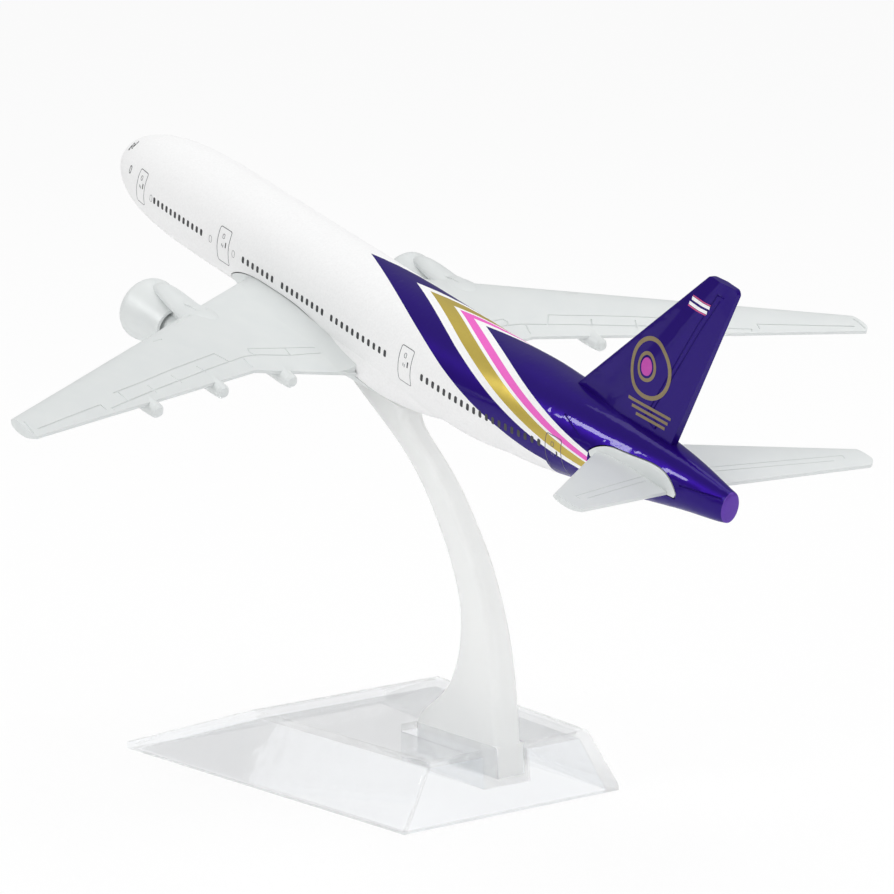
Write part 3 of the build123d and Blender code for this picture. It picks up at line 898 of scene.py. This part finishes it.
# %% Engrave the wings
WING_LINES = (
    ((99.4, 73.4), (96.6, 67.8), (92.4, 59.4), (94.6, 58.7)),
    ((89.2, 55.4), (85.6, 48.2), (81.7, 40.8), (76.7, 30.6), (78.6, 29.1)),
    ((93.9, 57.3), (93.0, 57.9), (87.8, 47.9), (80.9, 34.0), (76.8, 25.4), (76.3, 23.0)),
    ((76.3, 23.0), (76.1, 16.6), (74.9, 8.2)),
    ((88.9, 54.4), (91.0, 53.9)),
    ((86.5, 48.1), (88.2, 47.5)),
    ((83.5, 42.3), (85.2, 41.4)),
    ((80.4, 36.1), (81.9, 35.2)),
    ((76.5, 23.1), (75.6, 23.7), (74.7, 23.4), (74.2, 16.6), (73.7, 10.1), (75.7, 10.0)),
    ((74.1, 16.4), (76.2, 16.6)),
    ((77.4, 25.9), (79.4, 25.4)),
    ((73.0, 38.9), (72.3, 37.0)),
    ((66.2, 30.7), (62.9, 25.6)),
    ((97.6, 74.6), (102.0, 74.7)),
)
wings = merged_copy("wing", "engraved_wings")
wing_tree = surface_tree(wings)
bars = [bar_on(wing_tree, line, side, "above") for side in SIDE for line in WING_LINES]
engrave(wings, bars)
dressed(wings, wing_paint, "airliner", "wing_paint", "wing")

# %% [markdown]
# The rudder's outline on the fin and the short lines on the body are (x, z)
# points seen from the side. They are cut a little deeper than the wings' lines.

# %% Engrave the body and the fin
BODY_GROOVE = 0.16
FIN_LINES = (
    ((147.0, 31.2), (144.2, 25.5), (137.7, 9.8), (139.8, 8.8), (140.3, 9.6), (138.7, 10.7)),
    ((148.3, 31.2), (147.0, 31.2)),
    ((147.6, 30.6), (145.1, 25.5), (138.7, 10.7)),
)
BODY_LINES = (((125.9, 5.8), (130.4, 4.3)), ((149.0, 4.6), (155.9, 5.5)))
hull = merged_copy("fuselage", "painted_body")
hull_tree = surface_tree(hull)
bars = [
    bar_on(hull_tree, line, side, "beside", BODY_GROOVE)
    for side in SIDE
    for line in FIN_LINES + BODY_LINES
]
engrave(hull, bars)
dressed(hull, body_paint, "airliner", "body_paint", "fuselage")

# %% [markdown]
# Each tailplane is a casting of its own, with a finer line for its elevator.

# %% Engrave the tailplanes
TAILPLANE_GROOVE = 0.1
TAILPLANE_LINES = (
    ((151.9, 23.4), (143.1, 4.4)),
    ((152.7, 23.2), (151.9, 23.4)),
    ((152.3, 21.6), (144.5, 5.0)),
)
for side in SIDE:
    tail = merged_copy("tailplane_" + side, "engraved_tailplane_" + side)
    tail_tree = surface_tree(tail)
    bars = [
        bar_on(tail_tree, line, side, "above", TAILPLANE_GROOVE) for line in TAILPLANE_LINES
    ]
    engrave(tail, bars)
    dressed(tail, wing_paint, "airliner", "wing_paint", "tailplane_" + side)

# %% [markdown]
# ## Fairings
#
# On the real casting the wing's root sweeps up to the body in a soft curve, and
# a smooth fairing carries each engine under the wing's front edge. A bevel would
# give them one radius all along, and theirs changes. So both are skins lofted
# through loops, one loop after another along the airliner. Each loop's sizes
# come from a smooth line through a few measured points.


# %% Helpers for lofting
def between(x, table):
    """The value at x on a smooth line through a table of (x, value) pairs."""
    x = min(max(x, table[0][0]), table[-1][0])
    for n in range(len(table) - 1):
        if x <= table[n + 1][0]:
            break
    (x1, v1), (x2, v2) = table[n : n + 2]
    x0, v0 = table[n - 1] if n else (2 * x1 - x2, 2 * v1 - v2)
    x3, v3 = table[n + 2] if n + 2 < len(table) else (2 * x2 - x1, 2 * v2 - v1)
    slope1 = (v2 - v0) / (x2 - x0) * (x2 - x1)
    slope2 = (v3 - v1) / (x3 - x1) * (x2 - x1)
    t = (x - x1) / (x2 - x1)
    ease = t * t * (3 - 2 * t)
    bend = t * (1 - t) ** 2 * slope1 - t * t * (1 - t) * slope2
    return v1 + (v2 - v1) * ease + bend


def face_outwards():
    """Turns all faces of the piece in edit mode outwards."""
    bpy.ops.mesh.select_all(action="SELECT")
    bpy.ops.mesh.normals_make_consistent(inside=False)


def loft(name, section, around, along):
    """A closed skin: section(share of the way along, share of the way round) gives a point."""
    deselect()
    bpy.ops.mesh.primitive_grid_add(x_subdivisions=around, y_subdivisions=along, size=2)
    skin = bpy.context.object
    skin.name = skin.data.name = name
    for vertex in skin.data.vertices:
        vertex.co = place(*section((vertex.co.y + 1) / 2, (vertex.co.x + 1) / 2))
    bpy.ops.object.mode_set(mode="EDIT")
    bpy.ops.mesh.select_all(action="SELECT")
    bpy.ops.mesh.remove_doubles(threshold=WELD)
    bpy.ops.mesh.fill_holes(sides=0)
    face_outwards()
    bpy.ops.object.mode_set(mode="OBJECT")
    bpy.ops.object.shade_smooth_by_angle(angle=SMOOTH_SKIN)
    return skin


print("half way up a smooth line from 0 to 10:", between(0.5, ((0, 0), (1, 10))))

# %% [markdown]
# The root fairing's loops run down its outside, from the body to the wing, and
# back beneath the wing's surface, where they are out of sight. Rays cast down at
# the wing keep its outer edge on the surface, and it stays behind the wing's
# slanting front edge.

# %% Shape the fairing at the wing's root
ROOT_FRONT = 49.6
ROOT_REAR = 79.8
ROOT_REACH = ((49.6, 13.5), (64, 13.5), (72, 11.0), (79.8, 10.6))
ROOT_CROWN = ((49.6, -2.75), (52, -2.2), (54, -2.1), (57, -2.04), (60, -2.06), (64, -2.27))
ROOT_CROWN += ((68, -2.85), (72, -3.6), (75, -4.15), (78, -4.72), (79.8, -5.05))
ROOT_INNER = ((49.6, 7.3), (54, 7.62), (66, 7.62), (70, 7.2), (79.8, 6.9))
WING_EDGE_X = 43.7
WING_EDGE_SLOPE = 0.69
OUTSIDE_SHARE = 0.6
KNEE_REACH = 1.6
KNEE_SHARE = 0.35
KNEE_LIFT = 0.1
EDGE_SINK = 0.04
UNDER_SINK = 0.12


def wing_top(x, y):
    """The height of the wing's upper surface on the starboard side."""
    hit = wing_tree.ray_cast(place(x, y, CLEAR), -lift)[0]
    return ((hit - datum).dot(lift)) / MM if hit else -3.0


def root_section(side):
    """Loops of the fairing at the wing's root: down the outside, and back beneath it."""

    def section(along, around):
        x = ROOT_FRONT + (ROOT_REAR - ROOT_FRONT) * along
        inner = between(x, ROOT_INNER)
        wing_edge = (x - WING_EDGE_X) / WING_EDGE_SLOPE - 1.0
        outer = max(inner + 0.5, min(between(x, ROOT_REACH), wing_edge))
        knee = inner + min(KNEE_REACH, KNEE_SHARE * (outer - inner))
        crown = between(x, ROOT_CROWN)
        corners = (
            (inner, crown),
            (knee, wing_top(x, knee) + KNEE_LIFT),
            (outer, wing_top(x, outer) - EDGE_SINK),
        )
        t = min(around / OUTSIDE_SHARE, 1)
        if around > OUTSIDE_SHARE:
            t = (1 - around) / (1 - OUTSIDE_SHARE)
            corners = [(y, min(z, wing_top(x, y + 0.4) - UNDER_SINK)) for y, z in corners]
            corners[0] = (inner, crown - (crown - corners[0][1]) * min(1, t * 8))
        (y0, z0), (y1, z1), (y2, z2) = corners
        y = (1 - t) ** 2 * y0 + 2 * t * (1 - t) * y1 + t * t * y2
        z = (1 - t) ** 2 * z0 + 2 * t * (1 - t) * z1 + t * t * z2
        return x, SIDE[side] * y, z

    return section


print("the wing's top beside the body is at", round(wing_top(ROOT_FRONT + 10, 9), 2), "mm")

# %% [markdown]
# The pylon fairing's loops are ovals, a little wider below. It starts narrow on
# the top of the engine's cowl, widens towards the wing's front edge, and sinks
# into the wing behind the slot that the engine plugs into.

# %% Shape the fairing over an engine
ENGINE_Y = 24.1
PYLON_FRONT = 49.6
PYLON_LENGTH = 17.4
PYLON_TOP = ((49.6, -2.6), (51.0, -1.75), (52.5, -1.4), (54.5, -1.4), (56.7, -1.6), (59.6, -1.85))
PYLON_TOP += ((61.5, -1.6), (63.5, -1.5), (65.5, -1.72), (67.0, -2.2))
PYLON_HALF = ((49.6, 0.3), (51.0, 1.0), (54.5, 1.7), (58.5, 2.1), (63.0, 2.5), (67.0, 1.2))
PYLON_FOOT = ((49.6, -2.9), (52.5, -3.4), (56.7, -3.8), (60.0, -4.0), (64.5, -3.4), (67.0, -2.7))
PYLON_FLARE = 0.25


def pylon_section(side):
    """Loops of the fairing between an engine and the wing's front edge."""

    def section(along, around):
        x = PYLON_FRONT + PYLON_LENGTH * along
        top, foot = between(x, PYLON_TOP), between(x, PYLON_FOOT)
        half = between(x, PYLON_HALF)
        turn = math.tau * around
        middle, high = (top + foot) / 2, (top - foot) / 2
        flare = 1 + PYLON_FLARE * (1 - math.cos(turn)) / 2
        y = SIDE[side] * ENGINE_Y + half * flare * math.sin(turn)
        return x, y, middle + high * math.cos(turn)

    return section


print("a pylon fairing is", PYLON_LENGTH, "mm long")

# %% [markdown]
# Both fairings are lofted on each side. The root fairing has more loops, because
# it is longer.

# %% Loft the fairings
LOOP_POINTS = 41
FAIRINGS = (("root_fairing_", root_section, 62), ("pylon_fairing_", pylon_section, 42))
for side in SIDE:
    for name, section_on, loops in FAIRINGS:
        fairing = loft(name + side, section_on(side), LOOP_POINTS, loops)
        dressed(fairing, wing_paint, "airliner", "wing_paint")
        print(fairing.name, "has", len(fairing.data.polygons), "faces")

# %% [markdown]
# ## The fans
#
# Each cowl has a fan at its mouth: twenty-two twisted blades round a cone. Blades
# painted on a disc would look flat in an open mouth, so they are modelled. One
# blade is shaped from a grid, thickened, and copied round the engine's axis. The
# fan is made about its own middle, and then turned and moved to its cowl.

# %% Shape a blade, the cone and the disc
BLADES = 22
BLADE_X = 2.3
BLADE_FOOT = 0.855
BLADE_BOW = 0.08
BLADE_THICK = 0.1
ROOT_CHORD = 0.34
ADDED_CHORD = 0.2
ROOT_TWIST = 35
ADDED_TWIST = 28
CONE_X = 1.8
CONE_RADIUS = 1.1
CONE_FORE = 1.6
CONE_AFT = 0.6
DISC_X = 2.95
DISC_THICK = 0.3


def blade_shape(radius, front):
    """One blade, straight up from the axis."""
    deselect()
    bpy.ops.mesh.primitive_grid_add(x_subdivisions=6, y_subdivisions=4, size=2)
    blade = bpy.context.object
    for vertex in blade.data.vertices:
        along = (vertex.co.x + 1) / 2
        chord = vertex.co.y * (ROOT_CHORD + ADDED_CHORD * along)
        twist = math.radians(ROOT_TWIST + ADDED_TWIST * along)
        out = BLADE_FOOT + along * (radius - BLADE_FOOT)
        bow = BLADE_BOW * (1 - vertex.co.y**2)
        vertex.co = (
            chord * math.cos(twist) + bow + front + BLADE_X,
            chord * math.sin(twist),
            out,
        )
    thick = blade.modifiers.new("thick", "SOLIDIFY")
    thick.thickness = BLADE_THICK
    thick.offset = 0
    finish_modifiers(blade)
    return blade


def cone_shape(front):
    """The cone in front of the hub: a ball drawn out forwards."""
    deselect()
    bpy.ops.mesh.primitive_uv_sphere_add(segments=32, ring_count=16, radius=1)
    cone = bpy.context.object
    for vertex in cone.data.vertices:
        x, y, z = vertex.co
        reach = CONE_FORE if z > 0 else CONE_AFT
        vertex.co = (front + CONE_X - z * reach, y * CONE_RADIUS, x * CONE_RADIUS)
    return cone


def disc_shape(radius, front):
    """The disc behind the blades."""
    deselect()
    bpy.ops.mesh.primitive_cylinder_add(vertices=64, radius=radius, depth=DISC_THICK)
    disc = bpy.context.object
    for vertex in disc.data.vertices:
        x, y, z = vertex.co
        vertex.co = (front + DISC_X + z, x, y)
    return disc


print("a blade is set at", ROOT_TWIST, "to", ROOT_TWIST + ADDED_TWIST, "degrees")

# %% [markdown]
# The CAD's plain fan discs say how wide the cowls are and how far in the fans
# sit. The bladed fans stand for them.


# %% Put the fans together
def fan(side):
    """The fan of one engine, as one piece."""
    low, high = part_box("fan_" + side)
    middle = (low + high) / 2
    spread = [(v.co - middle) for v in frame["nodes"]["fan_" + side].data.vertices]
    radius = max(abs(v.y) for v in spread) / MM - 0.05
    front = min(v.dot(aft) for v in spread) / MM
    blade = blade_shape(radius, front)
    turns = [Matrix.Rotation(math.tau * n / BLADES, 4, "X") for n in range(BLADES)]
    parts = [copied(blade, "blade", turn) for turn in turns]
    bpy.data.objects.remove(blade)
    parts += [cone_shape(front), disc_shape(radius, front)]
    made = joined(parts, "bladed_fan_" + side)
    made.data.transform(Matrix.Translation(middle) @ level.to_4x4() @ Matrix.Scale(MM, 4))
    choose(made)
    bpy.ops.object.mode_set(mode="EDIT")
    face_outwards()
    bpy.ops.object.mode_set(mode="OBJECT")
    bpy.ops.object.shade_smooth_by_angle(angle=SMOOTH_SKIN)
    return made


for side in SIDE:
    dressed(fan(side), fan_metal, "airliner", "fan_metal", "fan_" + side)
print("blades on each fan:", BLADES)

# %% [markdown]
# ## The fin's print and the nose
#
# The fin carries a plain ring-and-disc badge over three bars in muted gold and
# pink, and a small striped flash near its tip. The nose has its flight deck
# windows and a small plate. The fin's print stands a little higher than the
# body's.

# %% Print the fin and the nose
FIN_LIFT = 0.03
RING_AT = (136.9, 16.6)
DISC_AT = (136.2, 16.6)
BADGE_BARS = (8.6, 7.2, 5.8)
FLASH_WIDTH = 3.9
for side in SIDE:
    gold = copies(mark(8.8, 8.8, line=0.62, corners=96, corner=4.39), [RING_AT])
    gold += copies(mark(4.2, 4.2, line=0.5, corners=64, corner=2.09), [DISC_AT])
    for n, width in enumerate(BADGE_BARS):
        gold += copies(bar_mark(width, 0.42), [(138.2 + 0.3 * n, 11.3 - n * 0.85)])
    printed("fin_badge_gold_" + side, gold, side, body, gold_ink, FIN_LIFT)
    pink = copies(mark(2.5, 2.5, corners=48, corner=1.24), [DISC_AT])
    printed("fin_badge_pink_" + side, pink, side, body, pink_ink, FIN_LIFT)
    stripes = copies(bar_mark(FLASH_WIDTH, 0.46), [(144.1, 28.95), (143.75, 28.15)])
    printed("fin_flash_white_" + side, stripes, side, body, white_ink, FIN_LIFT)
    thin = copies(bar_mark(FLASH_WIDTH, 0.16), [(144.2, 29.34), (143.6, 27.76)])
    printed("fin_flash_rose_" + side, thin, side, body, rose_ink, FIN_LIFT)
    glass = copies(mark(0.6, 1.15, corners=24, corner=0.12), [(8.2, 3.4), (9.05, 3.95)])
    printed("deck_windows_" + side, glass, side, body, window_ink)
    plates = copies(mark(0.75, 1.3, line=0.16, corners=24, corner=0.3), [(12.6, 1.25)])
    printed("nose_plates_" + side, plates, side, body, window_ink)
print("fin printed on both sides")

# %% [markdown]
# ## Close
